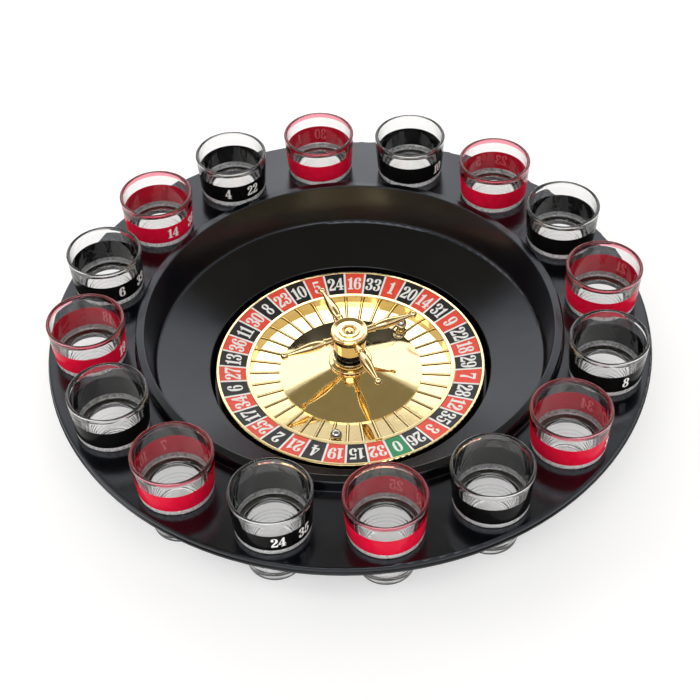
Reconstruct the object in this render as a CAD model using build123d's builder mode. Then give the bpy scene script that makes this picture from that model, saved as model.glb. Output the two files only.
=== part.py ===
from build123d import *
import os
from math import cos, radians, sin, sqrt

os.makedirs("parts", exist_ok=True)

# Roulette wheel in a round tray that also holds sixteen stepped drinking glasses.
# Millimetres, +Z up. The origin is on the table, under the wheel's axis.
# Every height is measured from the table.

# ---- tray ----
FLANGE_TOP = 43.0
WALL = 2.4
TRAY_R = 150.0
LIP_R = 150.5
LIP_BOTTOM = FLANGE_TOP - 3.9
LIP_WIDTH = 2.4
LIP_GROOVE = 0.5
LIP_GROOVE_TOP = FLANGE_TOP - 2.0
LIP_GROOVE_FLAT_TOP = LIP_GROOVE_TOP - 0.2
LIP_GROOVE_FLAT_BOTTOM = LIP_GROOVE_TOP - 0.5
LIP_GROOVE_BOTTOM = LIP_GROOVE_TOP - 1.0
RING_OUTER_R = 106.9
RING_TOP_OUTER_R = 106.6
RING_TOP_INNER_R = 102.0
RING_OUTER_TOP = FLANGE_TOP + 6.0
RING_INNER_TOP = FLANGE_TOP + 6.4
TRACK_OUTER_R = 98.7
TRACK_OUTER_Z = FLANGE_TOP - 15.5
WELL_TOP_R = 71.9
WELL_BOTTOM_R = 71.5
WELL_MOUTH = FLANGE_TOP - 25.7
FLOOR_TOP = 5.5
FLOOR_BOTTOM = 3.0
BOSS_R = 7.0
BOSS_BASE_R = 8.0
BOSS_TOP = 13.5
BOSS_POCKET_R = 6.5
BOSS_POCKET_TOP = 6.5
HOLE_CHAMFER = 0.3

# ---- rubber feet ----
FOOT_R = 7.0
FOOT_HEIGHT = 4.0
FOOT_RECESS_R = 7.1
FOOT_RING_R = 58.0
FOOT_COUNT = 4
FOOT_CHAMFER = 0.6

# ---- spindle and its bearing ----
SPINDLE_R = 2.5
SPINDLE_BOTTOM = 4.0
SPINDLE_TOP = 28.0
SPINDLE_CHAMFER = 0.5
RUNNING_CLEARANCE = 0.05
BUSH_R = 4.5
BUSH_FLANGE_R = 6.0
BUSH_FLANGE_HEIGHT = 1.0
CLIP_GROOVE_R = 2.0
CLIP_BOTTOM = 5.2
CLIP_HEIGHT = 0.6
CLIP_R = 4.2
CLIP_OPENING = 2.4
CLIP_PLAY = 0.02
WASHER_HEIGHT = 0.6
WASHER_R = 5.2
THRUST_WASHER_R = 5.7
THRUST_WASHER_BORE_R = 2.6

# ---- wheel disc ----
POCKET_COUNT = 37
POCKET_ANGLE = 360 / POCKET_COUNT
ZERO_POCKET_AT = -75.0
DISC_R = 69.2
DISC_TOP = FLANGE_TOP - 26.4
DISC_SKIRT_BOTTOM = FLANGE_TOP - 31.5
RIM_INNER_R = 67.5
SEAT_OUTER_R = 67.4
SEAT_OUTER_Z = FLANGE_TOP - 27.2
SEAT_INNER_R = 53.8
SEAT_INNER_Z = FLANGE_TOP - 29.3
INNER_RIM_OUTER_R = 53.7
INNER_RIM_INNER_R = 51.7
INNER_RIM_TOP = FLANGE_TOP - 28.5
POCKET_OUTER_R = 51.5
POCKET_FLOOR = FLANGE_TOP - 32.8
CONE_R = 36.8
CONE_EDGE_Z = FLANGE_TOP - 32.0
CONE_TOP_R = 11.0
CONE_TOP_Z = FLANGE_TOP - 25.8
DISC_THICKNESS = 2.0
FRET_WIDTH = 1.1
FRET_START_R = 36.3
FRET_END_R = 52.1
FRET_ROOT = 0.5
CONE_SKIRT_R = CONE_R - 0.6

# ---- printed number ring ----
NUMBER_RING_INNER_R = 53.9
NUMBER_RING_OUTER_R = 67.3
NUMBER_RING_THICKNESS = 0.5
NUMBER_RING_GAP = 0.02

# ---- turret ----
BASE_R = 11.1
BASE_STEP_R = 9.1
BASE_BORE_R = 6.0
BASE_EDGE = 0.4
BASE_STEP_Z = CONE_TOP_Z + 2.6
BASE_TOP = CONE_TOP_Z + 5.4
COLLAR_BOTTOM = CONE_TOP_Z + 4.4
COLLAR_R = 7.4
BARREL_BOTTOM = FLANGE_TOP - 15.9
BARREL_BOTTOM_R = 7.7
BARREL_TOP = FLANGE_TOP - 4.9
BARREL_TOP_R = 8.8
BARREL_MIDDLE = BARREL_BOTTOM + 4.0
BARREL_MIDDLE_R = 8.1
BARREL_FLARE_TOP = BARREL_TOP - 2.6
SPIGOT_R = 5.95
CAP_R = 9.5
CAP_TOP = FLANGE_TOP - 2.7
CAP_UNDERCUT = 0.6
CAP_DISH_R = 7.1
CAP_DISH_Z = CAP_TOP - 0.75
CAP_GROOVE_R = 5.4
CAP_GROOVE_Z = CAP_TOP - 0.9
CAP_GROOVE_HALF = 0.3
CAP_RAISED_R = 3.8
CAP_RECESS_R = 3.3
CAP_RECESS_FLOOR = CAP_TOP - 1.5
CAP_BORE_R = 1.55
CAP_SCREW_HEAD_R = 3.0
CAP_SCREW_SHANK_R = 1.45
CAP_SCREW_LENGTH = 8.0
CAP_SCREW_HEAD_EDGE = CAP_RECESS_FLOOR + 0.6
CAP_SCREW_CROWN_R = 1.8
CAP_SCREW_CROWN_Z = CAP_RECESS_FLOOR + 1.3
CAP_SCREW_TOP = CAP_RECESS_FLOOR + 1.45
CAP_SLOT_LENGTH = 3.2
CAP_SLOT_WIDTH = 0.8
CAP_SLOT_DEPTH = 0.85
SCREW_HOLE_PLAY = 0.05
TIP_CHAMFER = 0.4
TURRET_SCREW_RING_R = 8.6
TURRET_SCREW_R = 0.9
TURRET_SCREW_HEAD_R = 1.8
TURRET_SCREW_HEAD_HEIGHT = 1.0
TURRET_SCREW_SLOT_LENGTH = 2.2
TURRET_SCREW_SLOT_WIDTH = 0.5
TURRET_SCREW_SLOT_DEPTH = 0.6
TURRET_SCREW_COUNT = 3
TURRET_SCREW_TIP = BASE_STEP_Z - 1.0
TURRET_SCREW_HOLE_TOP = BASE_STEP_Z - 0.6

# ---- handles ----
HANDLE_COUNT = 4
HANDLE_AT = 16.2
HANDLE_Z = FLANGE_TOP - 6.5
HANDLE_TIP_R = 37.3
HANDLE_BALL_R = 1.9
TENON_R = 1.2
TENON_HOLE_START = 5.6
TENON_START = 5.7
HANDLE_START = BARREL_TOP_R + 0.05
HANDLE_NECK_R = 0.9
HANDLE_COLLAR = (
    (HANDLE_START, 1.5),
    (9.6, 1.5),
    (9.8, 1.8),
    (12.6, 1.85),
    (12.7, 2.2),
    (13.6, 2.2),
    (13.7, 1.7),
    (14.4, 1.6),
)
HANDLE_BODY = ((17.2, 2.3), (20.6, 2.6), (26.0, 2.1))

# ---- balls ----
BALL_R = 3.1
BALL_PLACES = ((47.2, -106.0), (41.0, 42.1))
BALL_LIFTED_BY = 0.02

# ---- glasses ----
GLASS_COUNT = 16
GLASS_RING_R = 128.6
GLASS_HOLE_R = 14.4
GLASS_FOOT_BOTTOM = FLANGE_TOP - 25.0
GLASS_RIM = FLANGE_TOP + 23.2
GLASS_RIM_R = 19.2
GLASS_SHOULDER = FLANGE_TOP + 0.03
GLASS_SHOULDER_R = 17.5
GLASS_FOOT_R = 14.0
GLASS_FOOT_BOTTOM_R = 13.4
GLASS_WALL = 1.25
GLASS_STEP_Z = FLANGE_TOP + 1.9
GLASS_WELL_R = 12.5
GLASS_WELL_BOTTOM_R = 11.8
GLASS_WELL_BOTTOM = FLANGE_TOP - 19.8
GLASS_BOWL_INNER_R = GLASS_SHOULDER_R - GLASS_WALL + 0.1
GLASS_WELL_TOP = GLASS_STEP_Z - 0.5
GLASS_PUNT_R = GLASS_FOOT_BOTTOM_R - 3.0
GLASS_PUNT_HEIGHT = 0.6


def track_height(radius):
    """Height of the sloping ball track at a radius."""
    slope = (TRACK_OUTER_Z - WELL_MOUTH) / (TRACK_OUTER_R - WELL_TOP_R)
    return WELL_MOUTH + slope * (radius - WELL_TOP_R)


def cone_height(radius):
    """Height of the wheel's cone at a radius."""
    slope = (CONE_TOP_Z - CONE_EDGE_Z) / (CONE_R - CONE_TOP_R)
    return CONE_EDGE_Z + slope * (CONE_R - radius)


def seat_height(radius):
    """Height of the seat under the printed ring at a radius."""
    slope = (SEAT_OUTER_Z - SEAT_INNER_Z) / (SEAT_OUTER_R - SEAT_INNER_R)
    return SEAT_INNER_Z + slope * (radius - SEAT_INNER_R)


def corner(section, x, y):
    """The vertex of a flat section that is nearest to a point."""
    return section.vertices().sort_by_distance((x, y))[0]


def round_corners(section, rounds):
    """Round corners of a flat section, each given as a point and a radius."""
    for x, y, radius in rounds:
        fillet(corner(section, x, y), radius)


def upright_plane(x, y):
    """A vertical section plane whose local Y is up, through a point of the table."""
    return Plane(origin=(x, y, 0), x_dir=(1, 0, 0), z_dir=(0, -1, 0))


def upright_axis(x, y):
    return Axis((x, y, 0), (0, 0, 1))


def save(part, node):
    part.label = node
    export_step(part, f"parts/{node}.step")


# ---- tray: one moulding with flange, raised ring, ball track, wheel well and boss ----
slope_wall = (RING_TOP_INNER_R - TRACK_OUTER_R) / (RING_INNER_TOP - TRACK_OUTER_Z)
flange_bottom = FLANGE_TOP - WALL
track_drop = WALL * sqrt(1 + ((TRACK_OUTER_Z - WELL_MOUTH) / (TRACK_OUTER_R - WELL_TOP_R)) ** 2)
bowl_outer_top_r = TRACK_OUTER_R + slope_wall * (flange_bottom - TRACK_OUTER_Z) + WALL
bowl_outer_low_r = TRACK_OUTER_R + WALL
bowl_outer_low_z = track_height(bowl_outer_low_r) - track_drop
well_outer_r = WELL_TOP_R + WALL
well_outer_top = track_height(well_outer_r) - track_drop
well_outer_low_r = WELL_BOTTOM_R + WALL

with BuildPart() as tray:
    with BuildSketch(Plane.XZ) as tray_section:
        with BuildLine():
            Polyline(
                (BUSH_R, BOSS_POCKET_TOP),
                (BUSH_R, BOSS_TOP),
                (BOSS_R, BOSS_TOP),
                (BOSS_BASE_R, FLOOR_TOP),
                (WELL_BOTTOM_R, FLOOR_TOP),
                (WELL_TOP_R, WELL_MOUTH),
                (TRACK_OUTER_R, TRACK_OUTER_Z),
                (RING_TOP_INNER_R, RING_INNER_TOP),
                (RING_TOP_OUTER_R, RING_OUTER_TOP),
                (RING_OUTER_R, FLANGE_TOP),
                (TRAY_R, FLANGE_TOP),
                (TRAY_R, LIP_GROOVE_TOP),
                (TRAY_R - LIP_GROOVE, LIP_GROOVE_FLAT_TOP),
                (TRAY_R - LIP_GROOVE, LIP_GROOVE_FLAT_BOTTOM),
                (LIP_R, LIP_GROOVE_BOTTOM),
                (LIP_R, LIP_BOTTOM),
                (LIP_R - LIP_WIDTH, LIP_BOTTOM),
                (LIP_R - LIP_WIDTH, flange_bottom),
                (bowl_outer_top_r, flange_bottom),
                (bowl_outer_low_r, bowl_outer_low_z),
                (well_outer_r, well_outer_top),
                (well_outer_low_r, FLOOR_BOTTOM),
                (BOSS_POCKET_R, FLOOR_BOTTOM),
                (BOSS_POCKET_R, BOSS_POCKET_TOP),
                close=True,
            )
        make_face()
        round_corners(
            tray_section,
            (
                (RING_TOP_INNER_R, RING_INNER_TOP, 0.7),
                (RING_TOP_OUTER_R, RING_OUTER_TOP, 1.1),
                (RING_OUTER_R, FLANGE_TOP, 0.6),
                (TRACK_OUTER_R, TRACK_OUTER_Z, 2.5),
                (WELL_TOP_R, WELL_MOUTH, 0.8),
                (WELL_BOTTOM_R, FLOOR_TOP, 1.5),
                (BOSS_BASE_R, FLOOR_TOP, 1.0),
                (TRAY_R, FLANGE_TOP, 1.2),
                (bowl_outer_top_r, flange_bottom, 1.5),
                (bowl_outer_low_r, bowl_outer_low_z, 3.0),
                (well_outer_r, well_outer_top, 2.0),
                (well_outer_low_r, FLOOR_BOTTOM, 1.2),
            ),
        )
    revolve(axis=Axis.Z)
    with BuildSketch(Plane.XY.offset(FLANGE_TOP)):
        with PolarLocations(GLASS_RING_R, GLASS_COUNT, start_angle=90):
            Circle(GLASS_HOLE_R)
    extrude(amount=-2 * WALL, mode=Mode.SUBTRACT)
    with BuildSketch(Plane.XY.offset(FLOOR_BOTTOM)):
        with PolarLocations(FOOT_RING_R, FOOT_COUNT, start_angle=45):
            Circle(FOOT_RECESS_R)
    extrude(amount=FOOT_HEIGHT - FLOOR_BOTTOM, mode=Mode.SUBTRACT)
    top_rims = tray.edges().filter_by(GeomType.CIRCLE).group_by(Axis.Z)
    hole_rims = [
        rim
        for group in top_rims
        for rim in group
        if round(rim.radius, 2) == GLASS_HOLE_R and round(rim.center().Z, 2) == FLANGE_TOP
    ]
    chamfer(hole_rims, HOLE_CHAMFER)
save(tray.part, "tray")

# ---- rubber feet, each half a step round from the tray's X and Y axes ----
for index in range(FOOT_COUNT):
    angle = radians(45 + index * 360 / FOOT_COUNT)
    with BuildPart() as foot:
        with BuildSketch(Plane(origin=(FOOT_RING_R * cos(angle), FOOT_RING_R * sin(angle), 0))):
            Circle(FOOT_R)
        extrude(amount=FOOT_HEIGHT)
        chamfer(foot.faces().sort_by(Axis.Z)[0].edges(), FOOT_CHAMFER)
    save(foot.part, f"foot_{index + 1}")

# ---- flanged bush pressed into the tray's boss ----
with BuildPart() as hub_bush:
    with BuildSketch(Plane.XY.offset(BOSS_POCKET_TOP)):
        Circle(BUSH_R)
    extrude(amount=BOSS_TOP - BOSS_POCKET_TOP)
    with BuildSketch(Plane.XY.offset(BOSS_TOP)):
        Circle(BUSH_FLANGE_R)
    extrude(amount=BUSH_FLANGE_HEIGHT)
    with BuildSketch(Plane.XY.offset(BOSS_POCKET_TOP)):
        Circle(SPINDLE_R + RUNNING_CLEARANCE)
    extrude(amount=BOSS_TOP - BOSS_POCKET_TOP + BUSH_FLANGE_HEIGHT, mode=Mode.SUBTRACT)
save(hub_bush.part, "hub_bush")

# ---- thrust washer between the bush and the wheel disc ----
disc_hub_bottom = cone_height(CONE_TOP_R) - DISC_THICKNESS
thrust_bottom = BOSS_TOP + BUSH_FLANGE_HEIGHT
with BuildPart() as thrust_washer:
    with BuildSketch(Plane.XY.offset(thrust_bottom)):
        Circle(THRUST_WASHER_R)
        Circle(THRUST_WASHER_BORE_R, mode=Mode.SUBTRACT)
    extrude(amount=disc_hub_bottom - RUNNING_CLEARANCE - thrust_bottom)
save(thrust_washer.part, "thrust_washer")

# ---- spindle: steel pin with chamfered ends and a clip groove near its foot ----
with BuildPart() as spindle:
    with BuildSketch(Plane.XY.offset(SPINDLE_BOTTOM)):
        Circle(SPINDLE_R)
    extrude(amount=SPINDLE_TOP - SPINDLE_BOTTOM)
    chamfer(spindle.faces().sort_by(Axis.Z)[0].edges(), SPINDLE_CHAMFER)
    chamfer(spindle.faces().sort_by(Axis.Z)[-1].edges(), SPINDLE_CHAMFER)
    with BuildSketch(Plane.XY.offset(CLIP_BOTTOM)):
        Circle(SPINDLE_R)
        Circle(CLIP_GROOVE_R, mode=Mode.SUBTRACT)
    extrude(amount=CLIP_HEIGHT, mode=Mode.SUBTRACT)
save(spindle.part, "spindle")

# ---- spring clip that stops the spindle lifting out: an open ring ----
with BuildPart() as retaining_ring:
    with BuildSketch(Plane.XY.offset(CLIP_BOTTOM + CLIP_PLAY)):
        Circle(CLIP_R)
        Circle(CLIP_GROOVE_R, mode=Mode.SUBTRACT)
        with Locations((CLIP_R, 0)):
            Rectangle(2 * CLIP_R, CLIP_OPENING, mode=Mode.SUBTRACT)
    extrude(amount=CLIP_HEIGHT - 2 * CLIP_PLAY)
save(retaining_ring.part, "retaining_ring")

# ---- washer between the clip and the bush ----
with BuildPart() as spindle_washer:
    with BuildSketch(Plane.XY.offset(CLIP_BOTTOM + CLIP_HEIGHT + CLIP_PLAY)):
        Circle(WASHER_R)
        Circle(SPINDLE_R, mode=Mode.SUBTRACT)
    extrude(amount=WASHER_HEIGHT)
save(spindle_washer.part, "spindle_washer")

# ---- one fret: a low rib with a rounded top between two pockets ----
with BuildPart() as fret:
    with BuildSketch(Plane(origin=(FRET_START_R, 0, 0), x_dir=(0, 1, 0), z_dir=(1, 0, 0))):
        crown = CONE_EDGE_Z - FRET_WIDTH / 2
        low = POCKET_FLOOR - FRET_ROOT
        with Locations((0, (crown + low) / 2)):
            Rectangle(FRET_WIDTH, crown - low)
        with Locations((0, crown)):
            Circle(FRET_WIDTH / 2)
    extrude(amount=FRET_END_R - FRET_START_R)

# ---- wheel disc: cone, ring of pockets, inner rim, seat for the numbers, outer rim ----
cone_drop = DISC_THICKNESS * sqrt(1 + ((CONE_TOP_Z - CONE_EDGE_Z) / (CONE_R - CONE_TOP_R)) ** 2)
pocket_under = POCKET_FLOOR - DISC_THICKNESS
with BuildPart() as wheel_disc:
    with BuildSketch(Plane.XZ) as disc_section:
        with BuildLine():
            Polyline(
                (SPINDLE_R, CONE_TOP_Z),
                (CONE_TOP_R, CONE_TOP_Z),
                (CONE_R, CONE_EDGE_Z),
                (CONE_R, POCKET_FLOOR),
                (POCKET_OUTER_R, POCKET_FLOOR),
                (INNER_RIM_INNER_R, INNER_RIM_TOP),
                (INNER_RIM_OUTER_R, INNER_RIM_TOP),
                (SEAT_INNER_R, SEAT_INNER_Z),
                (SEAT_OUTER_R, SEAT_OUTER_Z),
                (RIM_INNER_R, DISC_TOP),
                (DISC_R, DISC_TOP),
                (DISC_R, DISC_SKIRT_BOTTOM),
                (RIM_INNER_R, DISC_SKIRT_BOTTOM),
                (RIM_INNER_R, seat_height(RIM_INNER_R) - DISC_THICKNESS),
                (SEAT_INNER_R, SEAT_INNER_Z - DISC_THICKNESS),
                (SEAT_INNER_R, pocket_under),
                (CONE_SKIRT_R, pocket_under),
                (CONE_SKIRT_R, cone_height(CONE_SKIRT_R) - cone_drop),
                (CONE_TOP_R, disc_hub_bottom),
                (SPINDLE_R, disc_hub_bottom),
                close=True,
            )
        make_face()
        round_corners(
            disc_section,
            (
                (INNER_RIM_INNER_R, INNER_RIM_TOP, 0.5),
                (INNER_RIM_OUTER_R, INNER_RIM_TOP, 0.3),
                (RIM_INNER_R, DISC_TOP, 0.3),
                (DISC_R, DISC_TOP, 0.6),
                (CONE_R, CONE_EDGE_Z, 0.15),
            ),
        )
    revolve(axis=Axis.Z)
    with PolarLocations(0, POCKET_COUNT, start_angle=ZERO_POCKET_AT + POCKET_ANGLE / 2):
        add(fret.part)
    with BuildSketch(Plane.XY.offset(disc_hub_bottom)):
        with PolarLocations(TURRET_SCREW_RING_R, TURRET_SCREW_COUNT):
            Circle(TURRET_SCREW_R + SCREW_HOLE_PLAY)
    extrude(amount=CONE_TOP_Z - disc_hub_bottom, mode=Mode.SUBTRACT)
save(wheel_disc.part, "wheel_disc")

# ---- printed number ring, a thin conical washer in the disc's seat ----
with BuildPart() as number_ring:
    with BuildSketch(Plane.XZ):
        with BuildLine():
            inner_z = seat_height(NUMBER_RING_INNER_R) + NUMBER_RING_GAP
            outer_z = seat_height(NUMBER_RING_OUTER_R) + NUMBER_RING_GAP
            Polyline(
                (NUMBER_RING_INNER_R, inner_z),
                (NUMBER_RING_OUTER_R, outer_z),
                (NUMBER_RING_OUTER_R, outer_z + NUMBER_RING_THICKNESS),
                (NUMBER_RING_INNER_R, inner_z + NUMBER_RING_THICKNESS),
                close=True,
            )
        make_face()
    revolve(axis=Axis.Z)
save(number_ring.part, "number_ring")

# ---- turret base: two turned steps with rounded edges and a dished top ----
with BuildPart() as turret_base:
    with BuildSketch(Plane.XZ) as base_section:
        with BuildLine():
            Polyline(
                (BASE_BORE_R, CONE_TOP_Z),
                (BASE_R - BASE_EDGE, CONE_TOP_Z),
                (BASE_R, CONE_TOP_Z + BASE_EDGE),
                (BASE_R, BASE_STEP_Z - BASE_EDGE),
                (BASE_STEP_R - BASE_EDGE, BASE_STEP_Z),
                (BASE_STEP_R - BASE_EDGE, BASE_STEP_Z + BASE_EDGE),
                (BASE_STEP_R, BASE_STEP_Z + 2 * BASE_EDGE),
                (BASE_STEP_R, BASE_TOP),
                (BASE_STEP_R - 2 * BASE_EDGE, BASE_TOP),
                (COLLAR_R + BASE_EDGE / 4, COLLAR_BOTTOM),
                (BASE_BORE_R, COLLAR_BOTTOM),
                close=True,
            )
        make_face()
        round_corners(
            base_section,
            (
                (BASE_R, CONE_TOP_Z + BASE_EDGE, 0.5),
                (BASE_R, BASE_STEP_Z - BASE_EDGE, 0.7),
                (BASE_STEP_R, BASE_TOP, 0.35),
            ),
        )
    revolve(axis=Axis.Z)
    with BuildSketch(Plane.XY.offset(CONE_TOP_Z)):
        with PolarLocations(TURRET_SCREW_RING_R, TURRET_SCREW_COUNT):
            Circle(TURRET_SCREW_R)
    extrude(amount=TURRET_SCREW_HOLE_TOP - CONE_TOP_Z, mode=Mode.SUBTRACT)
save(turret_base.part, "turret_base")

# ---- small screws from below that hold the turret base to the disc ----
with BuildPart() as turret_screws:
    with BuildSketch(Plane.XY.offset(disc_hub_bottom)):
        with PolarLocations(TURRET_SCREW_RING_R, TURRET_SCREW_COUNT):
            Circle(TURRET_SCREW_R)
    extrude(amount=TURRET_SCREW_TIP - disc_hub_bottom)
    with BuildSketch(Plane.XY.offset(disc_hub_bottom)):
        with PolarLocations(TURRET_SCREW_RING_R, TURRET_SCREW_COUNT):
            Circle(TURRET_SCREW_HEAD_R)
    extrude(amount=-TURRET_SCREW_HEAD_HEIGHT)
    with BuildSketch(Plane.XY.offset(disc_hub_bottom - TURRET_SCREW_HEAD_HEIGHT)):
        with PolarLocations(TURRET_SCREW_RING_R, TURRET_SCREW_COUNT):
            Rectangle(TURRET_SCREW_SLOT_LENGTH, TURRET_SCREW_SLOT_WIDTH)
            Rectangle(TURRET_SCREW_SLOT_WIDTH, TURRET_SCREW_SLOT_LENGTH)
    extrude(amount=TURRET_SCREW_SLOT_DEPTH, mode=Mode.SUBTRACT)
save(turret_screws.part, "turret_screws")

# ---- black sleeve round the column's spigot, between the base and the barrel ----
with BuildPart() as column_collar:
    with BuildSketch(Plane.XY.offset(COLLAR_BOTTOM)):
        Circle(COLLAR_R)
        Circle(BASE_BORE_R, mode=Mode.SUBTRACT)
    extrude(amount=BARREL_BOTTOM - COLLAR_BOTTOM)
save(column_collar.part, "column_collar")

# ---- turret column: spigot below, flared barrel above, bored for the spindle ----
with BuildPart() as turret_column:
    with BuildSketch(Plane.XZ) as column_section:
        with BuildLine():
            Polyline(
                (0, SPINDLE_TOP),
                (SPINDLE_R, SPINDLE_TOP),
                (SPINDLE_R, CONE_TOP_Z),
                (SPIGOT_R, CONE_TOP_Z),
                (SPIGOT_R, BARREL_BOTTOM),
                (BARREL_BOTTOM_R, BARREL_BOTTOM),
                (BARREL_MIDDLE_R, BARREL_MIDDLE),
                (BARREL_TOP_R, BARREL_FLARE_TOP),
                (BARREL_TOP_R, BARREL_TOP),
                (0, BARREL_TOP),
                close=True,
            )
        make_face()
        round_corners(
            column_section,
            (
                (BARREL_BOTTOM_R, BARREL_BOTTOM, 0.8),
                (BARREL_MIDDLE_R, BARREL_MIDDLE, 4.0),
                (BARREL_TOP_R, BARREL_FLARE_TOP, 4.0),
            ),
        )
    revolve(axis=Axis.Z)
    with BuildSketch(Plane.XY.offset(BARREL_TOP)):
        Circle(CAP_SCREW_SHANK_R + SCREW_HOLE_PLAY)
    extrude(amount=-CAP_SCREW_LENGTH, mode=Mode.SUBTRACT)
    for index in range(HANDLE_COUNT):
        angle = radians(HANDLE_AT + index * 360 / HANDLE_COUNT)
        out = (cos(angle), sin(angle), 0)
        start = (TENON_HOLE_START * cos(angle), TENON_HOLE_START * sin(angle), HANDLE_Z)
        with BuildSketch(Plane(origin=start, z_dir=out)):
            Circle(TENON_R + SCREW_HOLE_PLAY)
        extrude(amount=BARREL_TOP_R, mode=Mode.SUBTRACT)
save(turret_column.part, "turret_column")

# ---- turret cap: dished disc with a raised inner ring round the screw's recess ----
with BuildPart() as turret_cap:
    with BuildSketch(Plane.XZ) as cap_section:
        with BuildLine():
            Polyline(
                (CAP_BORE_R, BARREL_TOP),
                (CAP_R - CAP_UNDERCUT, BARREL_TOP),
                (CAP_R, BARREL_TOP + CAP_UNDERCUT),
                (CAP_R, CAP_TOP - CAP_UNDERCUT),
                (CAP_R - CAP_UNDERCUT, CAP_TOP),
                (CAP_DISH_R, CAP_DISH_Z),
                (CAP_GROOVE_R + CAP_GROOVE_HALF, CAP_DISH_Z),
                (CAP_GROOVE_R, CAP_GROOVE_Z),
                (CAP_GROOVE_R - CAP_GROOVE_HALF, CAP_TOP),
                (CAP_RAISED_R, CAP_TOP),
                (CAP_RECESS_R, CAP_TOP - CAP_UNDERCUT),
                (CAP_RECESS_R, CAP_RECESS_FLOOR),
                (CAP_BORE_R, CAP_RECESS_FLOOR),
                close=True,
            )
        make_face()
        round_corners(
            cap_section,
            (
                (CAP_R, BARREL_TOP + CAP_UNDERCUT, 0.6),
                (CAP_R, CAP_TOP - CAP_UNDERCUT, 0.5),
                (CAP_R - CAP_UNDERCUT, CAP_TOP, 0.4),
                (CAP_DISH_R, CAP_DISH_Z, 1.5),
                (CAP_GROOVE_R - CAP_GROOVE_HALF, CAP_TOP, 0.25),
                (CAP_RAISED_R, CAP_TOP, 0.3),
            ),
        )
    revolve(axis=Axis.Z)
save(turret_cap.part, "turret_cap")

# ---- cap screw: domed head with a cross recess, shank down into the column ----
screw_tip = CAP_RECESS_FLOOR - CAP_SCREW_LENGTH
with BuildPart() as cap_screw:
    with BuildSketch(Plane.XZ) as screw_section:
        with BuildLine():
            Polyline(
                (0, screw_tip),
                (CAP_SCREW_SHANK_R - TIP_CHAMFER, screw_tip),
                (CAP_SCREW_SHANK_R, screw_tip + TIP_CHAMFER),
                (CAP_SCREW_SHANK_R, CAP_RECESS_FLOOR),
                (CAP_SCREW_HEAD_R, CAP_RECESS_FLOOR),
                (CAP_SCREW_HEAD_R, CAP_SCREW_HEAD_EDGE),
                (CAP_SCREW_CROWN_R, CAP_SCREW_CROWN_Z),
                (0, CAP_SCREW_TOP),
                close=True,
            )
        make_face()
        round_corners(
            screw_section,
            (
                (CAP_SCREW_HEAD_R, CAP_SCREW_HEAD_EDGE, 0.5),
                (CAP_SCREW_CROWN_R, CAP_SCREW_CROWN_Z, 1.5),
            ),
        )
    revolve(axis=Axis.Z)
    with BuildSketch(Plane.XY.offset(CAP_SCREW_TOP)):
        Rectangle(CAP_SLOT_LENGTH, CAP_SLOT_WIDTH)
        Rectangle(CAP_SLOT_WIDTH, CAP_SLOT_LENGTH)
    extrude(amount=-CAP_SLOT_DEPTH, mode=Mode.SUBTRACT)
save(cap_screw.part, "cap_screw")

# ---- handles: tenon, beaded collar, swelling body, thin neck and ball end ----
ball_centre = HANDLE_TIP_R - HANDLE_BALL_R
neck_end = (ball_centre - sqrt(HANDLE_BALL_R**2 - HANDLE_NECK_R**2), HANDLE_NECK_R)
for index in range(HANDLE_COUNT):
    angle = radians(HANDLE_AT + index * 360 / HANDLE_COUNT)
    out = (cos(angle), sin(angle), 0)
    side = (sin(angle), -cos(angle), 0)
    with BuildPart() as handle:
        with BuildSketch(Plane(origin=(0, 0, HANDLE_Z), x_dir=out, z_dir=side)):
            with BuildLine():
                Polyline((TENON_START, 0), (TENON_START, TENON_R), (HANDLE_START, TENON_R), *HANDLE_COLLAR)
                Spline(HANDLE_COLLAR[-1], *HANDLE_BODY, neck_end)
                ThreePointArc(neck_end, (ball_centre, HANDLE_BALL_R), (HANDLE_TIP_R, 0))
                Line((HANDLE_TIP_R, 0), (TENON_START, 0))
            make_face()
        revolve(axis=Axis((0, 0, HANDLE_Z), out))
    save(handle.part, f"handle_{index + 1}")

# ---- steel balls lying on pocket floors ----
for index, (ball_ring_r, ball_at) in enumerate(BALL_PLACES, start=1):
    ball_x = ball_ring_r * cos(radians(ball_at))
    ball_y = ball_ring_r * sin(radians(ball_at))
    ball_z = POCKET_FLOOR + BALL_R + BALL_LIFTED_BY
    with BuildPart() as ball:
        with Locations((ball_x, ball_y, ball_z)):
            Sphere(BALL_R)
    save(ball.part, f"ball_{index}")

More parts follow.
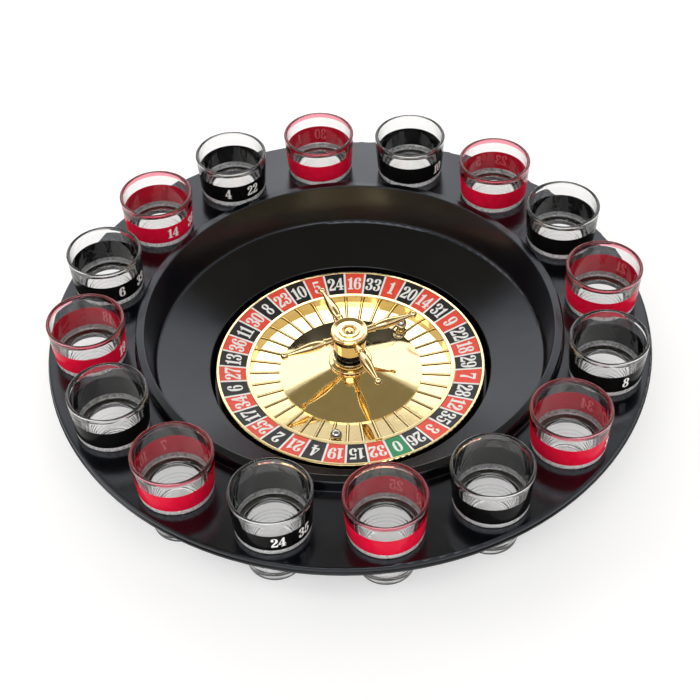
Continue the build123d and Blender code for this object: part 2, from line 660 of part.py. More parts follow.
# ---- glasses, numbered clockwise from +Y: wide bowl above the flange, narrow foot below ----
for number in range(1, GLASS_COUNT + 1):
    glass_at = radians(90 - (number - 1) * 360 / GLASS_COUNT)
    glass_x = GLASS_RING_R * cos(glass_at)
    glass_y = GLASS_RING_R * sin(glass_at)
    with BuildPart() as glass:
        with BuildSketch(upright_plane(glass_x, glass_y)) as glass_section:
            with BuildLine():
                Polyline(
                    (0, GLASS_FOOT_BOTTOM + GLASS_PUNT_HEIGHT),
                    (GLASS_PUNT_R, GLASS_FOOT_BOTTOM),
                    (GLASS_FOOT_BOTTOM_R, GLASS_FOOT_BOTTOM),
                    (GLASS_FOOT_R, FLANGE_TOP - WALL),
                    (GLASS_FOOT_R, GLASS_SHOULDER),
                    (GLASS_SHOULDER_R, GLASS_SHOULDER),
                    (GLASS_RIM_R, GLASS_RIM),
                    (GLASS_RIM_R - GLASS_WALL, GLASS_RIM),
                    (GLASS_BOWL_INNER_R, GLASS_STEP_Z),
                    (GLASS_WELL_R, GLASS_WELL_TOP),
                    (GLASS_WELL_BOTTOM_R, GLASS_WELL_BOTTOM),
                    (0, GLASS_WELL_BOTTOM),
                    close=True,
                )
            make_face()
            round_corners(
                glass_section,
                (
                    (GLASS_FOOT_BOTTOM_R, GLASS_FOOT_BOTTOM, 0.9),
                    (GLASS_SHOULDER_R, GLASS_SHOULDER, 0.9),
                    (GLASS_RIM_R, GLASS_RIM, 0.55),
                    (GLASS_RIM_R - GLASS_WALL, GLASS_RIM, 0.55),
                    (GLASS_BOWL_INNER_R, GLASS_STEP_Z, 1.2),
                    (GLASS_WELL_R, GLASS_WELL_TOP, 0.8),
                    (GLASS_WELL_BOTTOM_R, GLASS_WELL_BOTTOM, 1.5),
                ),
            )
        revolve(axis=upright_axis(glass_x, glass_y))
    save(glass.part, f"glass_{number:02d}")
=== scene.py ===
"""Looks of a table-top roulette wheel whose tray holds sixteen numbered glasses.

Everything is in metres in the CAD frame: +Z up, the origin on the table under the wheel's axis.
"""

from math import cos, hypot, pi, radians, sin, tan

import bmesh
import bpy
from mathutils import Matrix, Vector


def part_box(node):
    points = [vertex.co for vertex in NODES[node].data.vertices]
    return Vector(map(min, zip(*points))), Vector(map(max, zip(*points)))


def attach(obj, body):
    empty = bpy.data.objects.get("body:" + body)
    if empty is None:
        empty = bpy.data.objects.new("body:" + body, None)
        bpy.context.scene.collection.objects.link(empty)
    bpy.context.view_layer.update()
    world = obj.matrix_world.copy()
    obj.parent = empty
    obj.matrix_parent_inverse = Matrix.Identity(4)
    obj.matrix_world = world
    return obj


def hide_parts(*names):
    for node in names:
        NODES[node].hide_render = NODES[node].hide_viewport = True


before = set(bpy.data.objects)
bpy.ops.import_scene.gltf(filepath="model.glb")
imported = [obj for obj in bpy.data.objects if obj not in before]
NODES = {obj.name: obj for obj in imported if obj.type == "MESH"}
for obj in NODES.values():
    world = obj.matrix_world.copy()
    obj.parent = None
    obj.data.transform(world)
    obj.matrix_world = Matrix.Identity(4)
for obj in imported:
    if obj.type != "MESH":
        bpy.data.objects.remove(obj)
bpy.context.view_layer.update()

MM = 0.001
TINY = 1e-7
WELD_DISTANCE = 1e-6
SCENE = bpy.context.scene

# ---- camera, with its angles in degrees; the lens and sensor are in millimetres ----
CAMERA_DISTANCE = 775.7 * MM
CAMERA_AZIMUTH = -5.875
CAMERA_ELEVATION = 45.573
CAMERA_ROLL = -1.961
CAMERA_LENS = 78.24
CAMERA_SENSOR = 36.0
AIM_HEIGHT = 25.64 * MM

# ---- floor and light; the tent's edge is an elevation in degrees ----
FLOOR_HALF = 6.0
FLOOR_BELOW_FEET = 0.3 * MM
TENT_WALL = (0.85, 0.85, 0.85)
TENT_CEILING = (0.25, 0.225, 0.155)
TENT_EDGE = 50.3
TENT_SOFTNESS = 0.8

# Azimuth and elevation in degrees, distance and (width, height) in metres, and radiance.
# Azimuth 0 is behind the object as the camera sees it, and 90 is to its left.
SOFTBOXES = {
    "light_back_left": (19, 35.8, 1.6, (1.16, 0.78), 1.15),
    "light_back_right": (-19, 35.8, 1.6, (1.16, 0.78), 1.15),
    "light_left": (95, 38, 1.5, (0.7, 0.6), 1.6),
    "light_front": (180, 55, 1.5, (1.3, 0.6), 3.0),
}

# ---- wheel ----
POCKETS = 37
POCKET_STEP = 2 * pi / POCKETS
ZERO_AT = radians(-75.0)
WHEEL_ORDER = (
    0, 32, 15, 19, 4, 21, 2, 25, 17, 34, 6, 27, 13, 36, 11, 30, 8, 23, 10,
    5, 24, 16, 33, 1, 20, 14, 31, 9, 22, 18, 29, 7, 28, 12, 35, 3, 26,
)
POCKET_FLOOR = 10.2 * MM
FRET_HALF = 0.55 * MM
FRET_START_R = 36.9 * MM
FRET_END_R = 51.4 * MM
# Width, height and overlap of the thin dark lines of painted shade along each fret's foot.
FRET_LINE = 0.28 * MM
FRET_LINE_HEIGHT = 0.10 * MM
FRET_LINE_OVERLAP = 0.02 * MM

# ---- printed number ring ----
RING_INNER_R = 53.9 * MM
RING_THICKNESS = 0.5 * MM
CELL_LINE = 1.05 * MM
CELL_STEPS = 6
DIGIT_HEIGHT = 8.0 * MM
DIGIT_BASE_R = 56.7 * MM
PRINT_THICKNESS = 0.05 * MM

# ---- numerals, as parts of their height ----
NUMERAL_WIDTH = 0.5
DIGIT_ADVANCE = 0.535
ONE_ADVANCE = 0.42
NUMERAL_STRIPS = 8

# ---- glasses ----
GLASS_COUNT = 16
GLASS_RING_R = 128.6 * MM
GLASS_STEP = 2 * pi / GLASS_COUNT
GLASS_SEGMENTS = 96
FOOT_LENGTH = 25.0 * MM
FOOT_R = 14.0 * MM
FOOT_STEP = 2.4 * MM
FOOT_EDGE_R = 13.4 * MM
FOOT_DISH_R = 10.4 * MM
FOOT_DISH = 0.6 * MM
FOOT_RINGS = 7
FOOT_RING_START = 2.2 * MM
FOOT_RING_PITCH = 2.6 * MM
FOOT_RING_R = 13.45 * MM
FOOT_RING_GROWTH = 0.06 * MM
FOOT_RING_RELIEF = 0.08 * MM
SHOULDER_R = 17.5 * MM
SHOULDER_GAP = 0.05 * MM
GLASS_WALL = 1.25 * MM
RIM_BEAD = 1.75 * MM
RIM_BEAD_HEIGHT = 1.5 * MM
# Height of the rim tint that paints the red light piped up from the band.
RED_EDGE_HEIGHT = 2.2 * MM
BOWL_FLOOR_R = 12.5 * MM
WELL_R = 11.8 * MM
WELL_DEPTH = 19.8 * MM
FROSTED_FROM_R = 16.7 * MM
BAND_BOTTOM = 3.4 * MM
BAND_TOP = 14.2 * MM
PAINT_DEPTH = 0.04 * MM
PAINT_PROUD = 0.03 * MM
GLASS_DIGIT_HEIGHT = 6.4 * MM
GLASS_DIGIT_BASE = 5.9 * MM

# Numbers printed on each glass: (number, degrees round the glass from its outward side,
# counter-clockwise seen from above).
GLASS_NUMBERS = {
    1: ((30, -8), (1, 34)),
    2: ((10, -110), (28, -68)),
    3: ((23, 20), (5, 62)),
    4: ((29, 0), (11, 42), (15, 84)),
    5: ((12, 0), (21, 42)),
    6: ((31, 100), (8, -52)),
    7: ((3, 10), (27, 52), (34, 94)),
    8: ((13, 130), (2, 172), (17, -146)),
    9: ((9, 114), (25, 156)),
    10: ((24, 26), (35, 68)),
    11: ((7, -122), (16, -82)),
    12: ((20, -130), (26, -88)),
    13: ((19, 154), (32, -164), (18, -122)),
    14: ((6, 136), (33, 178)),
    15: ((14, 158), (36, -158)),
    16: ((4, 146), (22, -170)),
}


# ---------------------------------------------------------------- helpers
def link(thing):
    """Puts an object in the scene and hands it back."""
    SCENE.collection.objects.link(thing)
    return thing


def mesh_object(name, bm, materials, smooth_angle=35):
    """An object made from a bmesh, smooth except at sharp edges, with its materials."""
    bmesh.ops.recalc_face_normals(bm, faces=bm.faces)
    limit = radians(smooth_angle)
    for edge in bm.edges:
        edge.smooth = len(edge.link_faces) == 2 and edge.calc_face_angle(0) < limit
    for face in bm.faces:
        face.smooth = True
    mesh = bpy.data.meshes.new(name)
    bm.to_mesh(mesh)
    bm.free()
    for material in materials:
        mesh.materials.append(material)
    return link(bpy.data.objects.new(name, mesh))


def lathe(bm, profile, centre=(0, 0), segments=128, closed=True, material=0):
    """Turns a profile of (radius, height) points round a vertical axis."""
    rings = []
    for radius, height in profile:
        if radius < TINY:
            rings.append([bm.verts.new((centre[0], centre[1], height))])
            continue
        rings.append([
            bm.verts.new((
                centre[0] + radius * cos(2 * pi * k / segments),
                centre[1] + radius * sin(2 * pi * k / segments),
                height,
            ))
            for k in range(segments)
        ])
    pairs = list(zip(rings, rings[1:]))
    if closed:
        pairs.append((rings[-1], rings[0]))
    for low, high in pairs:
        for k in range(segments):
            following = (k + 1) % segments
            corners = [low[k % len(low)], low[following % len(low)]]
            corners += [high[following % len(high)], high[k % len(high)]]
            distinct = list(dict.fromkeys(corners))
            if len(distinct) > 2:
                bm.faces.new(distinct).material_index = material


def rounded(corners, steps=6):
    """A polyline of (x, y, rounding) corners, each rounded by its own radius where there is room."""
    points = [Vector(corner[:2]) for corner in corners]
    out = []
    for i, (corner, (_, _, rounding)) in enumerate(zip(points, corners)):
        if rounding == 0:
            out.append(tuple(corner))
            continue
        back = points[i - 1] - corner
        ahead = points[i + 1] - corner
        room = 0.49 * min(back.length, ahead.length)
        back.normalize()
        ahead.normalize()
        half = back.angle(ahead) / 2
        reach = min(rounding / tan(half), room)
        fit = reach * tan(half)
        centre = corner + (back + ahead).normalized() * fit / sin(half)
        start = corner + back * reach - centre
        end = corner + ahead * reach - centre
        for step in range(steps + 1):
            out.append(tuple(centre + start.slerp(end, step / steps).normalized() * fit))
    return out


# ---------------------------------------------------------------- materials
def new_material(name, **inputs):
    """A material with one Principled shader whose constant inputs are set on its own sockets."""
    material = bpy.data.materials.new(name)
    material.use_nodes = True
    tree = material.node_tree
    tree.nodes.clear()
    output = tree.nodes.new("ShaderNodeOutputMaterial")
    shader = tree.nodes.new("ShaderNodeBsdfPrincipled")
    tree.links.new(shader.outputs["BSDF"], output.inputs["Surface"])
    for socket, value in inputs.items():
        shader.inputs[socket.replace("_", " ")].default_value = value
    return material, tree, shader


def noise(tree, scale, detail=3.0, stretch=(1, 1, 1)):
    """A noise pattern in object space; scale is in features per metre."""
    coordinates = tree.nodes.new("ShaderNodeTexCoord")
    mapping = tree.nodes.new("ShaderNodeMapping")
    mapping.inputs["Scale"].default_value = stretch
    pattern = tree.nodes.new("ShaderNodeTexNoise")
    pattern.inputs["Scale"].default_value = scale
    pattern.inputs["Detail"].default_value = detail
    tree.links.new(coordinates.outputs["Object"], mapping.inputs["Vector"])
    tree.links.new(mapping.outputs["Vector"], pattern.inputs["Vector"])
    return pattern.outputs["Fac"]


def spread(tree, pattern, low, high, socket, start=0.3, end=0.7):
    """Maps a 0 to 1 pattern onto a range of values and feeds a shader socket."""
    ranged = tree.nodes.new("ShaderNodeMapRange")
    ranged.inputs["From Min"].default_value = start
    ranged.inputs["From Max"].default_value = end
    ranged.inputs["To Min"].default_value = low
    ranged.inputs["To Max"].default_value = high
    tree.links.new(pattern, ranged.inputs["Value"])
    tree.links.new(ranged.outputs["Result"], socket)


def tint(tree, pattern, dark, light, socket, start=0.3, end=0.7):
    """Maps a pattern onto a blend of two colours and feeds a colour socket."""
    ramp = tree.nodes.new("ShaderNodeValToRGB")
    ramp.color_ramp.elements[0].position = start
    ramp.color_ramp.elements[0].color = (*dark, 1)
    ramp.color_ramp.elements[1].position = end
    ramp.color_ramp.elements[1].color = (*light, 1)
    tree.links.new(pattern, ramp.inputs["Fac"])
    tree.links.new(ramp.outputs["Color"], socket)


def relief(tree, pattern, height, shader, strength=1.0, under=None):
    """Adds bump of a real height, in metres, on top of any bump already there."""
    bump = tree.nodes.new("ShaderNodeBump")
    bump.inputs["Strength"].default_value = strength
    bump.inputs["Distance"].default_value = height
    tree.links.new(pattern, bump.inputs["Height"])
    if under is not None:
        tree.links.new(under.outputs["Normal"], bump.inputs["Normal"])
    for socket in ("Normal", "Coat Normal"):
        tree.links.new(bump.outputs["Normal"], shader.inputs[socket])
    return bump


def black_plastic():
    """Semi-gloss black moulding with a very fine grain and faint handling marks."""
    material, tree, shader = new_material("black_plastic", IOR=1.5, Specular_Tint=(0.86, 0.90, 1.0, 1))
    tint(tree, noise(tree, 60), (0.0012, 0.0014, 0.0024), (0.0028, 0.0030, 0.0044),
         shader.inputs["Base Color"])
    spread(tree, noise(tree, 35, 5), 0.15, 0.23, shader.inputs["Roughness"])
    grain = relief(tree, noise(tree, 2600, 2), 0.012 * MM, shader, 0.6)
    relief(tree, noise(tree, 110, 2), 0.06 * MM, shader, 0.25, grain)
    return material


def gold(name, colour, low, high, wave):
    """Mirror-bright plated gold with slight waves, faint haze and hairline scratches."""
    material, tree, shader = new_material(name, Metallic=1.0)
    dark = tuple(0.93 * channel for channel in colour)
    tint(tree, noise(tree, 120, 4), dark, colour, shader.inputs["Base Color"])
    spread(tree, noise(tree, 260, 5), low, high, shader.inputs["Roughness"])
    waves = relief(tree, noise(tree, 160, 1), wave, shader, 0.5)
    relief(tree, noise(tree, 900, 2, (1, 9, 1)), 0.0015 * MM, shader, 0.5, waves)
    return material


def ink(name, dark, light, low=0.30, high=0.42):
    """Printed ink under a satin film, slightly uneven."""
    material, tree, shader = new_material(name, IOR=1.38)
    tint(tree, noise(tree, 700, 4), dark, light, shader.inputs["Base Color"])
    spread(tree, noise(tree, 500, 3), low, high, shader.inputs["Roughness"])
    relief(tree, noise(tree, 3500, 2), 0.004 * MM, shader, 0.5)
    return material


def band_paint(name, dark, light, through):
    """Fired colour on glass: hardly any shine of its own, and some light goes straight through it."""
    material, tree, shader = new_material(name, IOR=1.12, Transmission_Weight=through)
    tint(tree, noise(tree, 400, 4), dark, light, shader.inputs["Base Color"])
    spread(tree, noise(tree, 600, 3), 0.10, 0.22, shader.inputs["Roughness"])
    relief(tree, noise(tree, 1500, 2), 0.008 * MM, shader, 0.5)
    return material


def clear_glass(name, colour):
    """Pressed glass: clear, with slow waves in its surface."""
    material, tree, shader = new_material(
        name, Base_Color=(*colour, 1), IOR=1.5, Transmission_Weight=1.0)
    spread(tree, noise(tree, 200, 2), 0.0, 0.03, shader.inputs["Roughness"])
    relief(tree, noise(tree, 110, 1), 0.04 * MM, shader, 0.3)
    return material


def frosted_glass():
    """The lower edge of a glass, which scatters light."""
    material, tree, shader = new_material("frosted_glass", IOR=1.5, Transmission_Weight=0.45)
    tint(tree, noise(tree, 300, 3), (0.84, 0.84, 0.84), (0.92, 0.92, 0.92),
         shader.inputs["Base Color"])
    spread(tree, noise(tree, 400, 3), 0.20, 0.40, shader.inputs["Roughness"])
    relief(tree, noise(tree, 900, 2), 0.006 * MM, shader, 0.4)
    return material


def tarnish():
    """Painted shade: dark plating colour in the corner along each fret, standing in for the shade and
    dark reflection there.
    """
    material, tree, shader = new_material("tarnish", Metallic=0.6)
    # Dark brown painted shade for the fret corners.
    tint(tree, noise(tree, 700, 3), (0.020, 0.012, 0.004), (0.060, 0.038, 0.014),
         shader.inputs["Base Color"])
    spread(tree, noise(tree, 900, 3), 0.35, 0.6, shader.inputs["Roughness"])
    relief(tree, noise(tree, 2500, 2), 0.01 * MM, shader, 0.5)
    return material


def chrome():
    """Polished steel ball with faint contact marks."""
    material, tree, shader = new_material("chrome", Metallic=1.0)
    tint(tree, noise(tree, 300, 3), (0.46, 0.46, 0.47), (0.58, 0.58, 0.59),
         shader.inputs["Base Color"])
    spread(tree, noise(tree, 900, 4), 0.03, 0.09, shader.inputs["Roughness"])
    relief(tree, noise(tree, 1200, 1), 0.002 * MM, shader, 0.4)
    return material


def turned_steel():
    """Bare steel with fine turning marks round its axis."""
    material, tree, shader = new_material("turned_steel", Metallic=1.0)
    tint(tree, noise(tree, 400, 4), (0.40, 0.40, 0.41), (0.58, 0.58, 0.58),
         shader.inputs["Base Color"])
    spread(tree, noise(tree, 900, 3, (1, 1, 14)), 0.22, 0.42, shader.inputs["Roughness"])
    relief(tree, noise(tree, 2500, 2, (1, 1, 12)), 0.006 * MM, shader, 0.5)
    return material


def rubber():
    """Dull black rubber with a fine grain."""
    material, tree, shader = new_material("rubber", IOR=1.5)
    tint(tree, noise(tree, 500, 4), (0.012, 0.012, 0.012), (0.03, 0.03, 0.03),
         shader.inputs["Base Color"])
    spread(tree, noise(tree, 300, 3), 0.6, 0.85, shader.inputs["Roughness"])
    relief(tree, noise(tree, 2200, 3), 0.03 * MM, shader, 0.6)
    return material


def nylon():
    """Off-white bearing plastic."""
    material, tree, shader = new_material("nylon", IOR=1.5, Subsurface_Weight=0.1)
    tint(tree, noise(tree, 400, 3), (0.70, 0.69, 0.62), (0.80, 0.79, 0.73),
         shader.inputs["Base Color"])
    spread(tree, noise(tree, 300, 3), 0.35, 0.5, shader.inputs["Roughness"])
    relief(tree, noise(tree, 1800, 2), 0.01 * MM, shader, 0.5)
    return material


BLACK_PLASTIC = black_plastic()
GOLD_PLATING = gold("gold_plating", (0.93, 0.74, 0.39), 0.04, 0.09, 0.03 * MM)
GOLD_METAL = gold("gold_metal", (0.92, 0.71, 0.37), 0.04, 0.10, 0.01 * MM)
INK_RED = ink("ink_red", (0.84, 0.060, 0.030), (0.94, 0.090, 0.048))
INK_BLACK = ink("ink_black", (0.004, 0.004, 0.006), (0.010, 0.010, 0.012))
INK_GREEN = ink("ink_green", (0.006, 0.24, 0.085), (0.012, 0.32, 0.12))
INK_WHITE = ink("ink_white", (0.90, 0.89, 0.87), (0.96, 0.95, 0.93))
BAND_RED = band_paint("band_red", (0.80, 0.006, 0.036), (0.90, 0.012, 0.060), 0.20)
BAND_BLACK = band_paint("band_black", (0.004, 0.004, 0.004), (0.008, 0.008, 0.008), 0.3)
INK_THROUGH_RED = ink("ink_through_red", (0.97, 0.17, 0.20), (0.98, 0.23, 0.26))
GLASS = clear_glass("clear_glass", (0.945, 0.94, 0.935))
# Red tint on the rims of red glasses: painted red light, standing in for light piped up the glass from
# the band.
RED_RIM_PAINTED_GLOW = clear_glass("clear_glass_painted_red_glow", (0.95, 0.13, 0.19))
FROSTED = frosted_glass()
# Dark colour painted along the fret feet as shade.
FRET_PAINTED_SHADE = tarnish()
CHROME = chrome()
STEEL = turned_steel()
RUBBER = rubber()
NYLON = nylon()

# ---------------------------------------------------------------- CAD nodes that stay
KEPT = {
    "tray": BLACK_PLASTIC,
    "wheel_disc": GOLD_PLATING,
    "turret_base": GOLD_METAL,
    "turret_column": GOLD_METAL,
    "turret_cap": GOLD_METAL,
    "cap_screw": GOLD_METAL,
    "column_collar": BLACK_PLASTIC,
    "spindle": STEEL,
    "spindle_washer": STEEL,
    "retaining_ring": STEEL,
    "turret_screws": STEEL,
    "hub_bush": NYLON,
    "thrust_washer": NYLON,
    "ball_1": CHROME,
    "ball_2": CHROME,
    **{f"foot_{index}": RUBBER for index in range(1, 5)},
    **{f"handle_{index}": GOLD_METAL for index in range(1, 5)},
}
for node, material in KEPT.items():
    NODES[node].data.materials.clear()
    NODES[node].data.materials.append(material)

# ---------------------------------------------------------------- numerals
# Each numeral is drawn 1 high and about 0.5 wide as closed outlines; the first is the outside and
# the rest are holes. A point is (x, y) on a round stretch, or (x, y, 1) at a corner.
BALL_AND_HOOK = (
    (0.23, 0.0), (0.07, 0.05), (0.01, 0.19), (0.04, 0.30), (0.11, 0.34), (0.185, 0.30),
    (0.20, 0.21), (0.175, 0.12), (0.23, 0.07),
)
SIX = (
    ((0.27, 1.0), (0.09, 0.89), (0.0, 0.56), (0.01, 0.24), (0.09, 0.06), (0.26, 0.0), (0.44, 0.07),
     (0.50, 0.31), (0.44, 0.55), (0.31, 0.62), (0.19, 0.57, 1), (0.205, 0.80), (0.27, 0.935),
     (0.315, 0.90), (0.295, 0.82), (0.32, 0.72), (0.39, 0.69), (0.46, 0.74), (0.46, 0.87),
     (0.39, 0.97)),
    ((0.26, 0.065), (0.33, 0.14), (0.34, 0.31), (0.325, 0.48), (0.26, 0.55), (0.20, 0.48),
     (0.175, 0.30), (0.19, 0.13)),
)
NUMERALS = {
    "0": (
        ((0.25, 0.0), (0.42, 0.09), (0.50, 0.32), (0.50, 0.68), (0.42, 0.91), (0.25, 1.0), (0.08, 0.91),
         (0.0, 0.68), (0.0, 0.32), (0.08, 0.09)),
        ((0.25, 0.07), (0.31, 0.16), (0.335, 0.5), (0.31, 0.84), (0.25, 0.93), (0.19, 0.84),
         (0.165, 0.5), (0.19, 0.16)),
    ),
    "1": (
        ((0.07, 0.0, 1), (0.45, 0.0, 1), (0.45, 0.085, 1), (0.355, 0.10, 1), (0.355, 1.0, 1),
         (0.26, 1.0, 1), (0.19, 0.89), (0.07, 0.84, 1), (0.07, 0.76, 1), (0.175, 0.78, 1),
         (0.175, 0.10, 1), (0.07, 0.085, 1)),
    ),
    "2": (
        ((0.02, 0.0, 1), (0.47, 0.0, 1), (0.51, 0.30, 1), (0.44, 0.30, 1), (0.40, 0.19),
         (0.32, 0.165, 1), (0.15, 0.165, 1), (0.31, 0.37), (0.46, 0.56), (0.49, 0.76), (0.42, 0.93),
         (0.24, 1.0), (0.07, 0.93), (0.015, 0.78), (0.05, 0.67), (0.12, 0.64), (0.195, 0.68),
         (0.205, 0.78), (0.175, 0.87), (0.24, 0.935), (0.305, 0.87), (0.32, 0.74), (0.25, 0.54),
         (0.10, 0.31), (0.02, 0.12, 1)),
    ),
    "3": (
        BALL_AND_HOOK
        + ((0.305, 0.13), (0.325, 0.27), (0.29, 0.42), (0.20, 0.48, 1), (0.14, 0.48, 1),
           (0.14, 0.56, 1), (0.20, 0.56, 1), (0.28, 0.62), (0.305, 0.76), (0.285, 0.88), (0.22, 0.935),
           (0.175, 0.88), (0.195, 0.80), (0.175, 0.71), (0.105, 0.67), (0.035, 0.71), (0.02, 0.82),
           (0.08, 0.95), (0.24, 1.0), (0.41, 0.94), (0.47, 0.77), (0.43, 0.61), (0.35, 0.53, 1),
           (0.45, 0.45), (0.50, 0.26), (0.42, 0.06)),
    ),
    "4": (
        ((0.30, 1.0, 1), (0.42, 1.0, 1), (0.42, 0.35, 1), (0.52, 0.35, 1), (0.52, 0.24, 1),
         (0.42, 0.24, 1), (0.42, 0.085, 1), (0.50, 0.07, 1), (0.50, 0.0, 1), (0.17, 0.0, 1),
         (0.17, 0.07, 1), (0.25, 0.085, 1), (0.25, 0.24, 1), (0.0, 0.24, 1), (0.0, 0.34, 1)),
        ((0.25, 0.35, 1), (0.25, 0.74, 1), (0.085, 0.35, 1)),
    ),
    "5": (
        BALL_AND_HOOK
        + ((0.305, 0.14), (0.33, 0.32), (0.30, 0.50), (0.22, 0.57), (0.15, 0.53), (0.12, 0.47, 1),
           (0.06, 0.47, 1), (0.075, 1.0, 1), (0.46, 1.0, 1), (0.43, 0.83, 1), (0.14, 0.83, 1),
           (0.135, 0.60, 1), (0.26, 0.645), (0.43, 0.57), (0.50, 0.33), (0.42, 0.07)),
    ),
    "6": SIX,
    "7": (
        ((0.02, 1.0, 1), (0.49, 1.0, 1), (0.49, 0.86, 1), (0.37, 0.55), (0.325, 0.25), (0.32, 0.0, 1),
         (0.125, 0.0, 1), (0.145, 0.25), (0.23, 0.52), (0.38, 0.82, 1), (0.17, 0.82), (0.10, 0.77),
         (0.085, 0.66, 1), (0.02, 0.66, 1)),
    ),
    "8": (
        ((0.25, 0.0), (0.43, 0.06), (0.50, 0.25), (0.45, 0.44), (0.36, 0.53, 1), (0.43, 0.61),
         (0.47, 0.77), (0.41, 0.94), (0.25, 1.0), (0.09, 0.94), (0.03, 0.77), (0.07, 0.61),
         (0.14, 0.53, 1), (0.05, 0.44), (0.0, 0.25), (0.07, 0.06)),
        ((0.25, 0.065), (0.32, 0.13), (0.335, 0.26), (0.30, 0.41), (0.25, 0.47), (0.19, 0.41),
         (0.165, 0.26), (0.18, 0.13)),
        ((0.25, 0.59), (0.30, 0.66), (0.32, 0.77), (0.30, 0.88), (0.25, 0.935), (0.20, 0.88),
         (0.18, 0.77), (0.20, 0.66)),
    ),
    "9": tuple(tuple((0.5 - p[0], 1.0 - p[1], *p[2:]) for p in outline) for outline in SIX),
}


def numeral_sheet(text, height):
    """A flat, filled mesh of a number, centred on x and standing on y = 0, cut into thin strips."""
    curve = bpy.data.curves.new("numeral", "CURVE")
    curve.dimensions = "2D"
    curve.fill_mode = "BOTH"
    curve.resolution_u = 5
    widths = [ONE_ADVANCE if digit == "1" else DIGIT_ADVANCE for digit in text]
    left = -sum(widths) / 2
    for digit, width in zip(text, widths):
        shift = left + (width - NUMERAL_WIDTH) / 2
        for outline in NUMERALS[digit]:
            spline = curve.splines.new("BEZIER")
            spline.bezier_points.add(len(outline) - 1)
            spline.use_cyclic_u = True
            for point, place in zip(spline.bezier_points, outline):
                kind = "VECTOR" if len(place) == 3 else "AUTO"
                point.co = (height * (place[0] + shift), height * place[1], 0)
                point.handle_left_type = point.handle_right_type = kind
        left += width
    holder = link(bpy.data.objects.new("numeral", curve))
    bpy.context.view_layer.update()
    evaluated = holder.evaluated_get(bpy.context.evaluated_depsgraph_get())
    flat = bpy.data.meshes.new_from_object(evaluated)
    bm = bmesh.new()
    bm.from_mesh(flat)
    bmesh.ops.remove_doubles(bm, verts=bm.verts, dist=WELD_DISTANCE)
    half_width = sum(widths) * height / 2
    for k in range(1, NUMERAL_STRIPS):
        cut = half_width * (2 * k / NUMERAL_STRIPS - 1)
        geometry = bm.verts[:] + bm.edges[:] + bm.faces[:]
        bmesh.ops.bisect_plane(bm, geom=geometry, dist=TINY, plane_co=(cut, 0, 0), plane_no=(1, 0, 0))
    bpy.data.objects.remove(holder)
    bpy.data.curves.remove(curve)
    sheet = bpy.data.meshes.new("numeral_sheet")
    bm.to_mesh(sheet)
    bm.free()
    bpy.data.meshes.remove(flat)
    return sheet


SHEETS = {}


def add_number(bm, text, height, place, top, bottom=0.0):
    """Adds a number as a thin solid from bottom to top. place maps (x, y, lift) to a point in space.

    The face on the bottom takes the second material when the bottom is below zero.
    """
    if (text, height) not in SHEETS:
        SHEETS[text, height] = numeral_sheet(text, height)
    sheet = SHEETS[text, height]
    layers = [
        [bm.verts.new(place(v.co.x, v.co.y, lift)) for v in sheet.vertices]
        for lift in (bottom, top)
    ]
    used = {}
    for polygon in sheet.polygons:
        loop = list(polygon.vertices)
        bm.faces.new([layers[1][v] for v in loop])
        under = bm.faces.new([layers[0][v] for v in reversed(loop)])
        under.material_index = int(bottom < 0)
        for a, b in zip(loop, loop[1:] + loop[:1]):
            if used.pop((b, a), None) is None:
                used[a, b] = True
    for a, b in used:
        bm.faces.new((layers[0][a], layers[0][b], layers[1][b], layers[1][a]))


# ---------------------------------------------------------------- printed number ring
ring_low, ring_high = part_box("number_ring")
RING_OUTER_R = ring_high.x
RING_OUTER_TOP = ring_high.z
RING_INNER_TOP = ring_low.z + RING_THICKNESS


def ring_top(radius):
    """Height of the printed ring's top surface at a radius."""
    part = (radius - RING_INNER_R) / (RING_OUTER_R - RING_INNER_R)
    return RING_INNER_TOP + part * (RING_OUTER_TOP - RING_INNER_TOP)


def ring_place(radius, angle, lift=0.0):
    """A point on the printed ring's top, or at a height above it."""
    return (radius * cos(angle), radius * sin(angle), ring_top(radius) + lift)


def number_card():
    """The ring itself: 37 coloured cells with white lines between them, as one closed thin body."""
    black, red, green, white = range(4)
    margin_width = CELL_LINE / 2
    fractions = [i / CELL_STEPS for i in range(CELL_STEPS + 1)]
    bm = bmesh.new()
    for k in range(POCKETS):
        centre = ZERO_AT - k * POCKET_STEP
        low, high = centre - POCKET_STEP / 2, centre + POCKET_STEP / 2
        colour = green if k == 0 else (black, red)[k % 2]
        rows = []
        for radius in (RING_INNER_R, RING_OUTER_R):
            margin = margin_width / radius
            inked = high - low - 2 * margin
            angles = [low, *[low + margin + f * inked for f in fractions], high]
            rows.append([(radius, angle) for angle in angles])
        top = [[bm.verts.new(ring_place(r, a)) for r, a in row] for row in rows]
        under = [[bm.verts.new(ring_place(r, a, -RING_THICKNESS)) for r, a in row] for row in rows]
        last = len(rows[0]) - 2
        for i in range(last + 1):
            quads = (
                (top[0][i], top[0][i + 1], top[1][i + 1], top[1][i]),
                (under[0][i], under[1][i], under[1][i + 1], under[0][i + 1]),
                (top[0][i], under[0][i], under[0][i + 1], top[0][i + 1]),
                (top[1][i], top[1][i + 1], under[1][i + 1], under[1][i]),
            )
            for quad in quads:
                bm.faces.new(quad).material_index = white if i in (0, last) else colour
    bmesh.ops.remove_doubles(bm, verts=bm.verts, dist=WELD_DISTANCE)
    card = mesh_object("number_card", bm, (INK_BLACK, INK_RED, INK_GREEN, INK_WHITE))
    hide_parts("number_ring")
    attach(card, "wheel")


def card_numbers():
    """The white numbers, tops outward, running clockwise from the zero."""
    bm = bmesh.new()
    for k, number in enumerate(WHEEL_ORDER):
        centre = ZERO_AT - k * POCKET_STEP

        def place(x, y, lift, centre=centre):
            radius = DIGIT_BASE_R + y
            return ring_place(radius, centre - x / (DIGIT_BASE_R + DIGIT_HEIGHT / 2), lift)

        add_number(bm, str(number), DIGIT_HEIGHT, place, PRINT_THICKNESS)
    numbers = mesh_object("card_numbers", bm, (INK_WHITE,))
    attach(numbers, "wheel")


